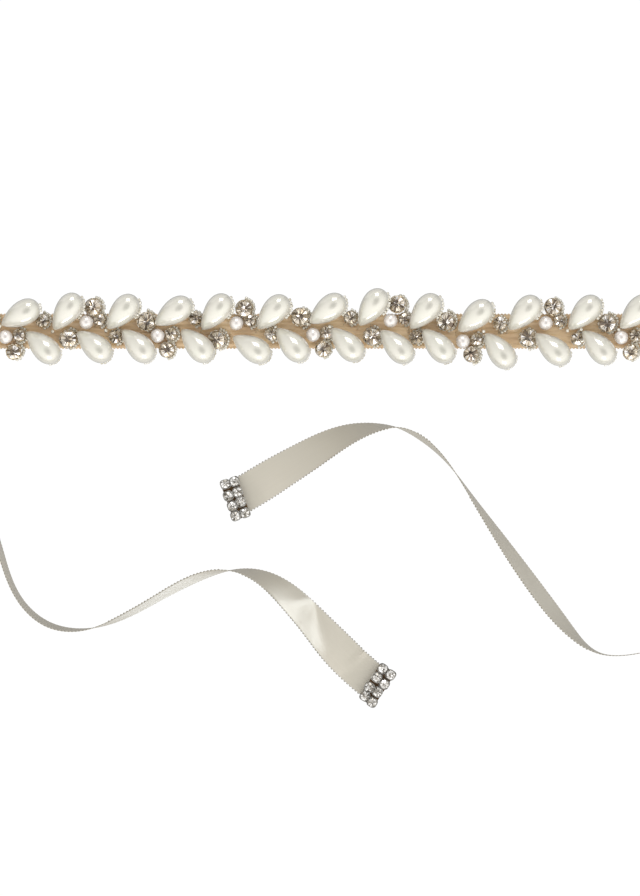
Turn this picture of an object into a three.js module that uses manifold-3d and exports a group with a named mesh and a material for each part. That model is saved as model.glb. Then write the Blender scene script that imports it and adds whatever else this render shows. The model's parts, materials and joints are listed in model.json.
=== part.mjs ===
// A bridal sash laid out on a flat surface: one satin ribbon whose middle carries two rows of
// drop pearls with round pearls and claw-set crystals between them, and whose two cut ends are
// each closed by two short rows of cup-set crystals.
// Millimetres, +Z up. The ribbon rests on Z = 0 and the layout is centred on X = 0, Y = 0.

import * as THREE from "three";
import { mergeVertices } from "three/addons/utils/BufferGeometryUtils.js";
import Module from "manifold-3d";

const wasm = await Module();
wasm.setup();

// Driving dimensions
const RIBBON_WIDTH = 15.4;
const RIBBON_THICKNESS = 1;
const SEAM = 0.3; // left between pieces that meet
const TAIL_STRETCHES = 5;
const RING_STEP = 6; // between two cross-sections of a tail

const BAND_LENGTH = 452; // the beaded middle
const COLUMN_PITCH = 21.25; // one upper and one lower drop pearl in each column
const COLUMN_COUNT = 21;
const FIRST_ROW = 11; // where in the table of columns the band begins

const DROP_LENGTH = 18.6;
const DROP_RADIUS = 5.4;
const DROP_FULLNESS = 0.6; // 0 gives an egg, 1 a cone with a round end
const DROP_PITCH = 14; // degrees from its tip up to its round end as it lies
const DROP_SIDES = 10;
const DROP_RINGS = 7;

const PEARL_RADIUS = 2.9;
const PEARL_SIDES = 10;
const PEARL_RINGS = 6;
const CRYSTAL_SIDES = 8;
const SUNK = 0.15; // how far a stone's foot is bedded in what carries it

const CUP = { radius: 2.1, height: 3.2, pitch: 4.5, rowPitch: 4, perRow: 4, rows: 2 };
const STRIP_HEIGHT = 0.6; // the metal strip under the cups
const TRIM_INSET = 2.4; // from the ribbon's cut to the middle of its end trim
const TRIM_HEADING = { left: -33, right: 200 }; // which way each trim faces, in degrees

// One row for each column of beads as it was sewn, in millimetres and degrees. shift and sag move
// the column's stones along and across the ribbon. The rest gives each drop pearl: its tip's place
// from the column's start and from the ribbon's middle line, and the way it leans.
const COLUMNS = [
  { shift: 0.2, sag: 0.1, upX: -2.1, upY: 2.3, upLean: 28, lowX: 8.5, lowY: 0.0, lowLean: -43 },
  { shift: 1.2, sag: 0.0, upX: -2.6, upY: 0.2, upLean: 54, lowX: 7.1, lowY: 0.0, lowLean: -40 },
  { shift: 0.6, sag: 0.0, upX: -1.1, upY: 0.6, upLean: 48, lowX: 5.1, lowY: 0.8, lowLean: -45 },
  { shift: -0.7, sag: 0.6, upX: -1.4, upY: 2.5, upLean: 33, lowX: 9.7, lowY: 1.0, lowLean: -46 },
  { shift: -0.5, sag: -0.4, upX: -3.3, upY: 0.2, upLean: 52, lowX: 9.3, lowY: -2.1, lowLean: -31 },
  { shift: 1.3, sag: 1.1, upX: -3.4, upY: 0.6, upLean: 47, lowX: 4.5, lowY: 1.4, lowLean: -47 },
  { shift: -0.1, sag: 1.0, upX: -1.9, upY: 3.1, upLean: 36, lowX: 7.2, lowY: 1.4, lowLean: -46 },
  { shift: -0.5, sag: 0.7, upX: -2.1, upY: 1.9, upLean: 55, lowX: 6.8, lowY: 0.6, lowLean: -46 },
  { shift: -2.4, sag: -0.1, upX: -0.4, upY: 0.6, upLean: 50, lowX: 4.7, lowY: 1.0, lowLean: -47 },
  { shift: -1.9, sag: -1.7, upX: -2.3, upY: -0.4, upLean: 41, lowX: 8.9, lowY: -0.6, lowLean: -52 },
  { shift: -0.1, sag: -0.3, upX: -4.4, upY: 0.2, upLean: 48, lowX: 6.5, lowY: -1.0, lowLean: -41 },
  { shift: 0.4, sag: -1.0, upX: -1.4, upY: 0.4, upLean: 47, lowX: 4.4, lowY: 0.4, lowLean: -47 },
  { shift: -0.2, sag: -0.1, upX: -0.8, upY: 0.8, upLean: 45, lowX: 8.5, lowY: 0.0, lowLean: -45 },
  { shift: 0.3, sag: -0.3, upX: -2.2, upY: 0.6, upLean: 51, lowX: 7.4, lowY: -0.4, lowLean: -43 },
  { shift: -0.4, sag: 0.3, upX: -1.6, upY: 0.3, upLean: 47, lowX: 4.8, lowY: 1.0, lowLean: -48 },
];

// The stones that go with a column repeat every three columns: place from the column's start and
// the ribbon's middle line, radius and height.
const STONE_REPEAT = 3;
const STONES = [
  { column: 0, kind: "pearl", along: -0.1, across: -2.5, radius: PEARL_RADIUS, height: 0 },
  { column: 0, kind: "crystal", along: 5.7, across: -1.9, radius: 2.8, height: 3.6 },
  { column: 0, kind: "crystal", along: 3.7, across: -8.3, radius: 3.4, height: 4.2 },
  { column: 0, kind: "crystal", along: 15.2, across: 4.5, radius: 3.0, height: 3.8 },
  { column: 1, kind: "crystal", along: 3.5, across: -3.0, radius: 4.0, height: 4.6 },
  { column: 1, kind: "pearl", along: 11.1, across: 3.6, radius: PEARL_RADIUS, height: 0 },
  { column: 1, kind: "crystal", along: 14.2, across: 10.0, radius: 3.8, height: 4.4 },
  { column: 1, kind: "crystal", along: 16.7, across: 4.6, radius: 2.7, height: 3.5 },
  { column: 2, kind: "crystal", along: 2.4, across: -2.2, radius: 3.0, height: 3.8 },
  { column: 2, kind: "crystal", along: 14.8, across: 4.4, radius: 4.0, height: 4.6 },
];

// The tails' routes over the surface, from the last bead to the cut end, measured from the middle
// of the beaded band. lean is the ribbon's tilt: 0 lies flat, 90 stands on its edge.
const LEFT_ROUTE = [
  { x: -226, y: 0, lean: 0 },
  { x: -256, y: 1, lean: 14 },
  { x: -290, y: 4, lean: 48 },
  { x: -326, y: 6, lean: 78 },
  { x: -362, y: -2, lean: 88 },
  { x: -392, y: -26, lean: 94 },
  { x: -402, y: -62, lean: 97 },
  { x: -386, y: -96, lean: 94 },
  { x: -352, y: -116, lean: 87 },
  { x: -312, y: -116, lean: 81 },
  { x: -276, y: -100, lean: 80 },
  { x: -244, y: -74, lean: 85 },
  { x: -214, y: -50, lean: 94 },
  { x: -184, y: -41, lean: 101 },
  { x: -160, y: -52, lean: 96 },
  { x: -147.5, y: -70, lean: 85 },
  { x: -140.2, y: -89.7, lean: 79 },
  { x: -131.9, y: -110.7, lean: 80 },
  { x: -119.5, y: -121.4, lean: 81 },
  { x: -104.2, y: -123.1, lean: 90 },
  { x: -90.6, y: -118.7, lean: 99 },
  { x: -74.1, y: -109.8, lean: 105 },
  { x: -57.5, y: -101.5, lean: 103 },
  { x: -44.3, y: -98.9, lean: 90 },
  { x: -32.8, y: -101.4, lean: 67 },
  { x: -19.9, y: -110.6, lean: 47 },
  { x: -7.2, y: -124.3, lean: 29 },
  { x: 0.6, y: -133.0, lean: 10 },
  { x: 6.9, y: -139.2, lean: 0 },
  { x: 17.5, y: -148.1, lean: 0 },
];
const RIGHT_ROUTE = [
  { x: 226, y: 0, lean: 0 },
  { x: 256, y: 1, lean: 14 },
  { x: 290, y: 4, lean: 48 },
  { x: 326, y: 4, lean: 77 },
  { x: 362, y: -8, lean: 87 },
  { x: 390, y: -34, lean: 93 },
  { x: 400, y: -70, lean: 97 },
  { x: 386, y: -106, lean: 95 },
  { x: 354, y: -130, lean: 89 },
  { x: 314, y: -137, lean: 83 },
  { x: 274, y: -131, lean: 79 },
  { x: 236, y: -121, lean: 80 },
  { x: 198, y: -116, lean: 86 },
  { x: 160, y: -121, lean: 93 },
  { x: 119.3, y: -133.7, lean: 93 },
  { x: 107.7, y: -133.1, lean: 90 },
  { x: 94.5, y: -123.0, lean: 73 },
  { x: 82.1, y: -107.6, lean: 66 },
  { x: 65.6, y: -84.5, lean: 74 },
  { x: 53.2, y: -66.3, lean: 84 },
  { x: 44.9, y: -54.7, lean: 91 },
  { x: 32.5, y: -43.5, lean: 98 },
  { x: 23.9, y: -39.9, lean: 90 },
  { x: 16.0, y: -39.8, lean: 77 },
  { x: 3.6, y: -42.8, lean: 56 },
  { x: -12.9, y: -51.4, lean: 31 },
  { x: -25.3, y: -58.8, lean: 15 },
  { x: -34.4, y: -64.4, lean: 0 },
  { x: -45.1, y: -70.6, lean: 0 },
];
const UP_EDGE = { left: -1, right: 1 }; // which side of its route each tail's raised edge is on

const COLOURS = {
  satin: { color: 0xcfc6b6, roughness: 0.45, metalness: 0 },
  pearl: { color: 0xe9e4d8, roughness: 0.18, metalness: 0 },
  crystal: { color: 0xc9bda8, roughness: 0.12, metalness: 0.3 },
};
const material = (name) => new THREE.MeshStandardMaterial(COLOURS[name]);

const bandStart = (-COLUMN_COUNT * COLUMN_PITCH) / 2;
const radians = THREE.MathUtils.degToRad;

// A closed geometry as a manifold solid, and back
function solidOf(geometry) {
  const bare = geometry.clone();
  bare.deleteAttribute("normal");
  bare.deleteAttribute("uv");
  const merged = mergeVertices(bare, 1e-4);
  return new wasm.Manifold(
    new wasm.Mesh({
      numProp: 3,
      vertProperties: merged.attributes.position.array,
      triVerts: new Uint32Array(merged.index.array),
    }),
  );
}

function geometryOf(solid) {
  const mesh = solid.getMesh();
  return new THREE.BufferGeometry()
    .setAttribute("position", new THREE.BufferAttribute(mesh.vertProperties, 3))
    .setIndex(new THREE.BufferAttribute(mesh.triVerts, 1));
}

function joined(solids) {
  return solids.reduce((all, one) => all.add(one));
}

// A natural cubic spline through the rows of a table, for each of its named columns
function splineOf(rows, columns) {
  const at = [0];
  for (let i = 1; i < rows.length; i++)
    at.push(at[i - 1] + Math.hypot(rows[i].x - rows[i - 1].x, rows[i].y - rows[i - 1].y));
  const last = rows.length - 1;
  const bends = {};
  for (const name of columns) {
    const bend = new Array(rows.length).fill(0);
    const ratio = new Array(rows.length).fill(0);
    for (let i = 1; i < last; i++) {
      const before = at[i] - at[i - 1];
      const after = at[i + 1] - at[i];
      const turn =
        (rows[i + 1][name] - rows[i][name]) / after - (rows[i][name] - rows[i - 1][name]) / before;
      const pivot = 2 * (before + after) - before * ratio[i - 1];
      ratio[i] = after / pivot;
      bend[i] = (6 * turn - before * bend[i - 1]) / pivot;
    }
    for (let i = last - 1; i > 0; i--) bend[i] -= ratio[i] * bend[i + 1];
    bends[name] = bend;
  }
  return {
    length: at[last],
    point(distance) {
      let i = 0;
      while (i < last - 1 && distance > at[i + 1]) i++;
      const span = at[i + 1] - at[i];
      const b = (distance - at[i]) / span;
      const a = 1 - b;
      const values = {};
      for (const name of columns)
        values[name] =
          a * rows[i][name] +
          b * rows[i + 1][name] +
          (((a ** 3 - a) * bends[name][i] + (b ** 3 - b) * bends[name][i + 1]) * span ** 2) / 6;
      return values;
    },
  };
}

// The four corners of the ribbon's section at a distance along a route, its lowest one on Z = 0
function sectionAt(route, distance, side) {
  const REACH = 0.5; // either side, for the direction
  const here = route.point(distance);
  const before = route.point(Math.max(distance - REACH, 0));
  const after = route.point(Math.min(distance + REACH, route.length));
  const run = Math.hypot(after.x - before.x, after.y - before.y);
  const out = new THREE.Vector3(-(after.y - before.y) / run, (after.x - before.x) / run, 0);
  const lean = radians(Math.max(here.lean, 0));
  const across = out
    .clone()
    .multiplyScalar(side * Math.cos(lean))
    .setZ(Math.sin(lean));
  const through = out
    .clone()
    .multiplyScalar(-side * Math.sin(lean))
    .setZ(Math.cos(lean));
  const height =
    (RIBBON_WIDTH / 2) * Math.sin(lean) + (RIBBON_THICKNESS / 2) * Math.abs(Math.cos(lean));
  const centre = new THREE.Vector3(here.x, here.y, height);
  const corners = [
    [-1, -1],
    [1, -1],
    [1, 1],
    [-1, 1],
  ];
  return corners.map(([u, v]) =>
    centre
      .clone()
      .addScaledVector(across, (u * RIBBON_WIDTH) / 2)
      .addScaledVector(through, (v * RIBBON_THICKNESS) / 2),
  );
}

// A closed wall through a list of four-cornered sections
function wallThrough(sections, side) {
  const positions = sections.flat().flatMap((corner) => corner.toArray());
  const corners = sections[0].length;
  const faces = [];
  const quad = (a, b, c, d) => faces.push(a, b, c, a, c, d);
  for (let ring = 0; ring < sections.length - 1; ring++)
    for (let k = 0; k < corners; k++) {
      const next = (k + 1) % corners;
      const low = ring * corners;
      const high = low + corners;
      quad(low + k, low + next, high + next, high + k);
    }
  const end = (sections.length - 1) * corners;
  quad(3, 2, 1, 0);
  quad(end, end + 1, end + 2, end + 3);
  if (side < 0) faces.reverse();
  return new THREE.BufferGeometry()
    .setAttribute("position", new THREE.Float32BufferAttribute(positions, 3))
    .setIndex(faces);
}

// One tail of the ribbon, in stretches that follow each other along its route
function tail(name, rows) {
  const side = UP_EDGE[name];
  const route = splineOf(rows, ["x", "y", "lean"]);
  const stretch = route.length / TAIL_STRETCHES;
  const group = new THREE.Group();
  for (let i = 0; i < TAIL_STRETCHES; i++) {
    const from = i * stretch + SEAM / 2;
    const to = (i + 1) * stretch - SEAM / 2;
    const steps = Math.round((to - from) / RING_STEP);
    const sections = Array.from({ length: steps + 1 }, (_, k) =>
      sectionAt(route, from + ((to - from) * k) / steps, side),
    );
    const mesh = new THREE.Mesh(wallThrough(sections, side), material("satin"));
    mesh.name = `ribbon_${name}_${i + 1}`;
    group.add(mesh);
  }
  return group;
}

// A drop pearl from its tip at the origin along +X, lying on its side with its lowest point on
// Z = 0. margin makes it larger all round.
function dropGeometry(margin = 0) {
  const outline = (turn) => Math.sin(turn) * Math.sin(turn / 2) ** DROP_FULLNESS;
  // The outline is widest where its derivative is zero: cot(turn) = -FULLNESS / 2 * cot(turn / 2)
  const widest = outline(Math.acos(-DROP_FULLNESS / (2 + DROP_FULLNESS)));
  const profile = Array.from({ length: DROP_RINGS + 1 }, (_, i) => {
    const turn = (Math.PI * i) / DROP_RINGS;
    const radius = ((DROP_RADIUS + margin) * outline(turn)) / widest;
    const along = ((1 - Math.cos(turn)) * (DROP_LENGTH + 2 * margin)) / 2 - margin;
    return new THREE.Vector2(radius, along);
  });
  profile[0].x = 0;
  profile[DROP_RINGS].x = 0;
  const lying = new THREE.LatheGeometry(profile, DROP_SIDES)
    .rotateZ(-Math.PI / 2)
    .rotateY(-radians(DROP_PITCH));
  lying.computeBoundingBox();
  return lying.translate(0, 0, -lying.boundingBox.min.z - margin);
}

const drop = dropGeometry();
const dropClearance = dropGeometry(SEAM);

// Where each drop pearl lies: its tip is sewn near the middle line, its round end points outward
function dropPlaces() {
  const places = [];
  for (let i = 0; i < COLUMN_COUNT; i++) {
    const column = COLUMNS[(FIRST_ROW + i) % COLUMNS.length];
    const start = bandStart + i * COLUMN_PITCH + column.shift;
    const number = String(i + 1).padStart(2, "0");
    places.push(
      { name: `drop_upper_${number}`, x: start + column.upX, y: column.upY, lean: column.upLean },
      { name: `drop_lower_${number}`, x: start + column.lowX, y: column.lowY, lean: column.lowLean },
    );
  }
  return places;
}

function placed(object, place) {
  object.position.set(place.x, place.y, RIBBON_THICKNESS + SEAM);
  object.rotation.z = radians(place.lean);
  return object;
}

function drops() {
  const group = new THREE.Group();
  for (const place of dropPlaces()) {
    const mesh = placed(new THREE.Mesh(drop, material("pearl")), place);
    mesh.name = place.name;
    group.add(mesh);
  }
  return group;
}

// A cut crystal in its claw setting: a tapered cup, a girdle, a sloping crown and a flat table
function crystalGeometry(radius, height) {
  const FOOT = 0.9;
  const GIRDLE = 0.62;
  const TABLE = 0.56;
  const profile = [
    [0, 0],
    [radius * FOOT, 0],
    [radius, height * GIRDLE],
    [radius * TABLE, height],
    [0, height],
  ].map(([r, z]) => new THREE.Vector2(r, z));
  return new THREE.LatheGeometry(profile, CRYSTAL_SIDES).rotateX(Math.PI / 2);
}

function pearlGeometry() {
  return new THREE.SphereGeometry(PEARL_RADIUS, PEARL_SIDES, PEARL_RINGS)
    .rotateX(Math.PI / 2)
    .translate(0, 0, PEARL_RADIUS);
}

function stoneGeometry(stone) {
  return stone.kind === "pearl" ? pearlGeometry() : crystalGeometry(stone.radius, stone.height);
}

// The middle of the ribbon with its round pearls and crystals bedded in its upper face. Where a
// drop pearl lies against a stone, the stone is cut back to leave the seam's gap.
function ribbonMiddle() {
  const stones = [];
  for (let i = 0; i < COLUMN_COUNT; i++) {
    const row = (FIRST_ROW + i) % COLUMNS.length;
    const start = bandStart + i * COLUMN_PITCH + COLUMNS[row].shift;
    for (const stone of STONES.filter((one) => one.column === row % STONE_REPEAT))
      stones.push(
        solidOf(
          stoneGeometry(stone).translate(
            start + stone.along,
            stone.across + COLUMNS[row].sag,
            RIBBON_THICKNESS - SUNK,
          ),
        ),
      );
  }
  const clearances = dropPlaces().map((place) => {
    const around = placed(new THREE.Object3D(), place);
    around.updateMatrix();
    return solidOf(dropClearance.clone().applyMatrix4(around.matrix));
  });
  const cloth = new THREE.BoxGeometry(BAND_LENGTH - SEAM, RIBBON_WIDTH, RIBBON_THICKNESS);
  cloth.translate(0, 0, RIBBON_THICKNESS / 2);
  const body = joined(stones).subtract(joined(clearances)).add(solidOf(cloth));
  const mesh = new THREE.Mesh(geometryOf(body), material("satin"));
  mesh.name = "ribbon_middle";
  return mesh;
}

// The trim that closes a cut end: rows of small crystals in cups on a narrow metal strip
function endTrim(name, rows) {
  const cut = rows[rows.length - 1];
  const before = rows[rows.length - 2];
  const run = Math.hypot(cut.x - before.x, cut.y - before.y);
  const along = (CUP.rows - 1) * CUP.rowPitch;
  const across = (CUP.perRow - 1) * CUP.pitch;
  const strip = new THREE.BoxGeometry(along + CUP.radius, across + CUP.radius, STRIP_HEIGHT);
  const solids = [solidOf(strip.translate(0, 0, STRIP_HEIGHT / 2))];
  for (let row = 0; row < CUP.rows; row++)
    for (let k = 0; k < CUP.perRow; k++)
      solids.push(
        solidOf(
          crystalGeometry(CUP.radius, CUP.height).translate(
            row * CUP.rowPitch - along / 2,
            k * CUP.pitch - across / 2,
            STRIP_HEIGHT - SUNK,
          ),
        ),
      );
  const mesh = new THREE.Mesh(geometryOf(joined(solids)), material("crystal"));
  mesh.name = `end_trim_${name}`;
  mesh.position.set(
    cut.x - (TRIM_INSET * (cut.x - before.x)) / run,
    cut.y - (TRIM_INSET * (cut.y - before.y)) / run,
    RIBBON_THICKNESS + SEAM,
  );
  mesh.rotation.z = radians(TRIM_HEADING[name]);
  return mesh;
}

const sash = new THREE.Group();
sash.add(ribbonMiddle());
sash.add(drops());
sash.add(tail("left", LEFT_ROUTE));
sash.add(tail("right", RIGHT_ROUTE));
sash.add(endTrim("left", LEFT_ROUTE));
sash.add(endTrim("right", RIGHT_ROUTE));

const middle = new THREE.Box3().setFromObject(sash, true).getCenter(new THREE.Vector3());
sash.position.set(-middle.x, -middle.y, 0);

export default sash;
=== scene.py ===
import json
import math
import random

import bpy
from mathutils import Matrix, Vector

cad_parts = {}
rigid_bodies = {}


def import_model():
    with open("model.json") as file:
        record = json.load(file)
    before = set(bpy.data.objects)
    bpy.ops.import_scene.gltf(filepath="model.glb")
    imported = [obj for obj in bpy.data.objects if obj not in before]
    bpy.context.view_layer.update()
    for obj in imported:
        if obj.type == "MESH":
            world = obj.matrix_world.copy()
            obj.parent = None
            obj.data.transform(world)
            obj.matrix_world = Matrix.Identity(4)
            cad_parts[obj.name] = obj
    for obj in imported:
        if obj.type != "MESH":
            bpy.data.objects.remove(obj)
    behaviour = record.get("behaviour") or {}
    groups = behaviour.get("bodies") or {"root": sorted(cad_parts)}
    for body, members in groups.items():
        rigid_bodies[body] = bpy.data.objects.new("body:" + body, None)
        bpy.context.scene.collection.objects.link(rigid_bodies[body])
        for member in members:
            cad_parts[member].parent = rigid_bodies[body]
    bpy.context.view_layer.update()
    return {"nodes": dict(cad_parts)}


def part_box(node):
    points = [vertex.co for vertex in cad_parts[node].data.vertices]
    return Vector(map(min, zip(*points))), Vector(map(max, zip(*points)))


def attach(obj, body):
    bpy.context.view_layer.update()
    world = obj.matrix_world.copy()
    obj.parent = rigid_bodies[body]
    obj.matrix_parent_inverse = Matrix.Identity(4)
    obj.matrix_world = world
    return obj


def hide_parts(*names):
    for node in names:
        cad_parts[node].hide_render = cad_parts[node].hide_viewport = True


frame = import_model()

# Ribbon
# One length of double-faced satin ribbon, ivory, woven with a small picot on both selvedges. It is
# cut from the roll, laid flat under the beads, and its two tails turn up onto their lower edge.

MM = 0.001
RIBBON_WIDTH = 14.6 * MM  # the cloth, without its picots
RIBBON_THICKNESS = 0.32 * MM
RIBBON_STEP = 1.6 * MM
RIBBON_SPANS = 24  # across
BAND_HALF = 226 * MM
BAND_RISE = 0.35 * MM  # the thread on its back holds the beaded middle off the surface
RISE_FADE = 22 * MM
PICOT_REACH = 0.48 * MM  # past the cloth, which stands on them where it is on its edge


def table(columns, *rows):
    """A table's rows as dictionaries, with its columns' names written once above them."""
    return [dict(zip(columns.split(), row)) for row in rows]


# The tails' routes from the band to the cut, in millimetres from the middle of the band. lean is
# the ribbon's tilt in degrees: 0 lies flat, 90 stands on its edge.
LEFT_ROUTE = table(
    "x y lean",
    (-226, 0, 0),
    (-256, 1, 14),
    (-290, 4, 48),
    (-326, 6, 78),
    (-362, -2, 88),
    (-392, -26, 94),
    (-402, -62, 97),
    (-386, -96, 94),
    (-352, -116, 87),
    (-312, -116, 81),
    (-276, -100, 80),
    (-244, -74, 85),
    (-214, -50, 94),
    (-184, -41, 101),
    (-160, -52, 96),
    (-147.5, -70, 86),
    (-140.2, -89.7, 85),
    (-131.9, -110.7, 86),
    (-119.5, -121.4, 85),
    (-104.2, -123.1, 90),
    (-90.6, -118.7, 98),
    (-74.1, -109.8, 102),
    (-57.5, -101.5, 103),
    (-44.3, -98.9, 90),
    (-32.8, -101.4, 70),
    (-19.9, -110.6, 47),
    (-7.2, -124.3, 29),
    (0.6, -133.0, 10),
    (6.9, -139.2, 0),
    (17.5, -148.1, 0),
)
RIGHT_ROUTE = table(
    "x y lean",
    (226, 0, 0),
    (256, 1, 14),
    (290, 4, 48),
    (326, 4, 77),
    (362, -8, 87),
    (390, -34, 93),
    (400, -70, 97),
    (386, -106, 95),
    (354, -130, 89),
    (314, -137, 83),
    (274, -131, 79),
    (236, -121, 80),
    (198, -116, 86),
    (160, -121, 93),
    (119.3, -133.7, 93),
    (107.7, -133.1, 90),
    (94.5, -123.0, 73),
    (82.1, -107.6, 66),
    (65.6, -84.5, 74),
    (53.2, -66.3, 85),
    (44.9, -54.7, 91),
    (32.5, -43.5, 96),
    (23.9, -39.9, 90),
    (16.0, -39.8, 78),
    (3.6, -42.8, 56),
    (-12.9, -51.4, 31),
    (-25.3, -58.8, 15),
    (-34.4, -64.4, 0),
    (-45.1, -70.6, 0),
)

# The left tail turns from its edge onto its face in a soft cone. The cone's rulings fan out from a
# point just past the lower edge, across a facet that leans on its own, to the raised edge.
FAN = {"from_band": 703 * MM, "past": 1.2, "before": -4 * MM, "after": 19 * MM}
FAN_LEANS = {"standing": 64, "facet": 36, "lying": 3}  # degrees
FAN_SOFTNESS = 0.5
FAN_FADE = 30 * MM

# Sewing the beads on draws the cloth between them into shallow lengthwise puckers.
PUCKERS = 6  # across the ribbon
PUCKER_LEAN = 38  # degrees
PUCKER_WANDER = 31 * MM


def band_middle():
    """The middle of the band on the surface, from the flat underside of its node."""
    level = 0.05 * MM
    low = [v.co for v in frame["nodes"]["ribbon_middle"].data.vertices if v.co.z < level]
    xs, ys = [co.x for co in low], [co.y for co in low]
    return Vector(((min(xs) + max(xs)) / 2, (min(ys) + max(ys)) / 2, 0))


BAND = band_middle()


class Spline:
    """A natural cubic spline through the rows of a table, for each of its named columns."""

    def __init__(self, rows, columns):
        self.rows, self.columns, self.bends = rows, columns, {}
        self.at = [0.0]
        for a, b in zip(rows, rows[1:]):
            self.at.append(self.at[-1] + math.hypot(b["x"] - a["x"], b["y"] - a["y"]))
        self.length = self.at[-1] * MM
        last = len(rows) - 1
        for name in columns:
            bend, ratio = [0.0] * (last + 1), [0.0] * (last + 1)
            for i in range(1, last):
                before, after = self.at[i] - self.at[i - 1], self.at[i + 1] - self.at[i]
                rise = (rows[i + 1][name] - rows[i][name]) / after
                fall = (rows[i][name] - rows[i - 1][name]) / before
                pivot = 2 * (before + after) - before * ratio[i - 1]
                ratio[i] = after / pivot
                bend[i] = (6 * (rise - fall) - before * bend[i - 1]) / pivot
            for i in range(last - 1, 0, -1):
                bend[i] -= ratio[i] * bend[i + 1]
            self.bends[name] = bend

    def point(self, distance):
        away = min(max(distance / MM, 0), self.at[-1])
        i = 0
        while i < len(self.rows) - 2 and away > self.at[i + 1]:
            i += 1
        span = self.at[i + 1] - self.at[i]
        b = (away - self.at[i]) / span
        a = 1 - b
        here = {}
        for name in self.columns:
            line = a * self.rows[i][name] + b * self.rows[i + 1][name]
            bend = self.bends[name]
            curve = (a**3 - a) * bend[i] + (b**3 - b) * bend[i + 1]
            here[name] = line + curve * span**2 / 6
        return here


def smooth(share):
    """Eases a share from 0 to 1."""
    share = min(max(share, 0), 1)
    return share * share * (3 - 2 * share)


def polar(radius, turn, height=0.0):
    """A point at a distance from the Z axis and a turn about it."""
    return radius * math.cos(turn), radius * math.sin(turn), height


class Ribbon:
    """The whole ribbon as one strip, from the left cut to the right one."""

    def __init__(self):
        self.left = Spline(LEFT_ROUTE, ("x", "y", "lean"))
        self.right = Spline(RIGHT_ROUTE, ("x", "y", "lean"))
        self.length = self.left.length + 2 * BAND_HALF + self.right.length

    def tail_at(self, distance):
        """Which tail a distance from the left cut is on, and how far from the band."""
        if distance < self.left.length:
            return "left", self.left, self.left.length - distance
        past = distance - self.left.length - 2 * BAND_HALF
        return ("right", self.right, past) if past > 0 else (None, None, 0)

    def fan_lean(self, away, across):
        """The lean within the left tail's cone: standing, then the facet, then lying."""
        share = (FAN["past"] + across) / (FAN["past"] + 1)
        place = (away - FAN["from_band"]) / max(share, 0.02)
        part = (place - FAN["before"]) / (FAN["after"] - FAN["before"])
        first = smooth((part + FAN_SOFTNESS) / (2 * FAN_SOFTNESS))
        second = smooth((part - 1 + FAN_SOFTNESS) / (2 * FAN_SOFTNESS))
        onto_facet = (FAN_LEANS["facet"] - FAN_LEANS["standing"]) * first
        return FAN_LEANS["standing"] + onto_facet + (FAN_LEANS["lying"] - FAN_LEANS["facet"]) * second

    def leans(self, distance, count):
        """The cloth's lean at points across it, in radians. Its mean follows the route."""
        name, route, away = self.tail_at(distance)
        across = [2 * i / (count - 1) - 1 for i in range(count)]
        pucker = math.radians(PUCKER_LEAN) * max(0, 1 - away / RISE_FADE)
        wander = math.sin(distance / PUCKER_WANDER) + math.sin(distance / PUCKER_WANDER * 2.7)
        ripple = [pucker * math.sin(math.pi * PUCKERS * a + wander) for a in across]
        if route is None:
            return ripple
        lean = max(route.point(away)["lean"], 0)
        fan = smooth(2 - 2 * abs(away - FAN["from_band"] - 3 * MM) / FAN_FADE)
        if name == "right" or not fan:
            return [math.radians(lean) + r for r in ripple]
        own = [self.fan_lean(away, a) for a in across]
        plan, low, high = math.cos(math.radians(lean)), -90.0, 90.0
        for _ in range(30):
            shift = (low + high) / 2
            mean = sum(math.cos(math.radians(o + shift)) for o in own) / count
            low, high = (shift, high) if mean > plan else (low, shift)
        return [math.radians(lean + (o + shift - lean) * fan) for o in own]

    def centre_at(self, distance):
        name, route, away = self.tail_at(distance)
        if route is None:
            return BAND + Vector((distance - self.left.length - BAND_HALF, 0, 0))
        here = route.point(away)
        return BAND + Vector((here["x"] * MM, here["y"] * MM, 0))

    def section(self, distance, count):
        """Points across the ribbon's mid surface with their upward normals, at one distance."""
        reach = 0.4 * MM
        ahead = self.centre_at(min(distance + reach, self.length))
        behind = self.centre_at(max(distance - reach, 0))
        along = (ahead - behind).normalized()
        side = Vector((-along.y, along.x, 0))
        _, _, away = self.tail_at(distance)
        rise = BAND_RISE * max(0, 1 - away / RISE_FADE)
        piece = RIBBON_WIDTH / (count - 1)
        leans = self.leans(distance, count)
        points, normals, place = [], [], Vector((0, 0, 0))
        for i, lean in enumerate(leans):
            if i:
                middle = (lean + leans[i - 1]) / 2
                place = place + side * piece * math.cos(middle) + Vector((0, 0, piece * math.sin(middle)))
            points.append(place.copy())
            normals.append(side * -math.sin(lean) + Vector((0, 0, math.cos(lean))))
        plan = points[-1].dot(side) / 2
        stand = PICOT_REACH * max(0, math.sin(leans[0])) if away else 0
        foot = RIBBON_THICKNESS / 2 + rise + stand - min(p.z for p in points)
        centre = self.centre_at(distance)
        shift = centre - side * plan + Vector((0, 0, foot))
        return [p + shift for p in points], normals


ribbon_path = Ribbon()


def new_piece(name, mesh, finish):
    """Puts a mesh in the scene as a piece of the sash, with its finish and slot."""
    piece = bpy.data.objects.new(name, mesh)
    bpy.context.scene.collection.objects.link(piece)
    if not mesh.materials:
        mesh.materials.append(finish)
    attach(piece, "root")
    return piece


def mesh_from(name, points, faces, sharp=None):
    """A mesh of points and faces, smooth but for edges sharper than an angle in degrees."""
    mesh = bpy.data.meshes.new(name)
    mesh.from_pydata(points, [], faces)
    mesh.validate()
    mesh.shade_smooth()
    if sharp is not None:
        mesh.set_sharp_from_angle(angle=math.radians(sharp))
    return mesh


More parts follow.
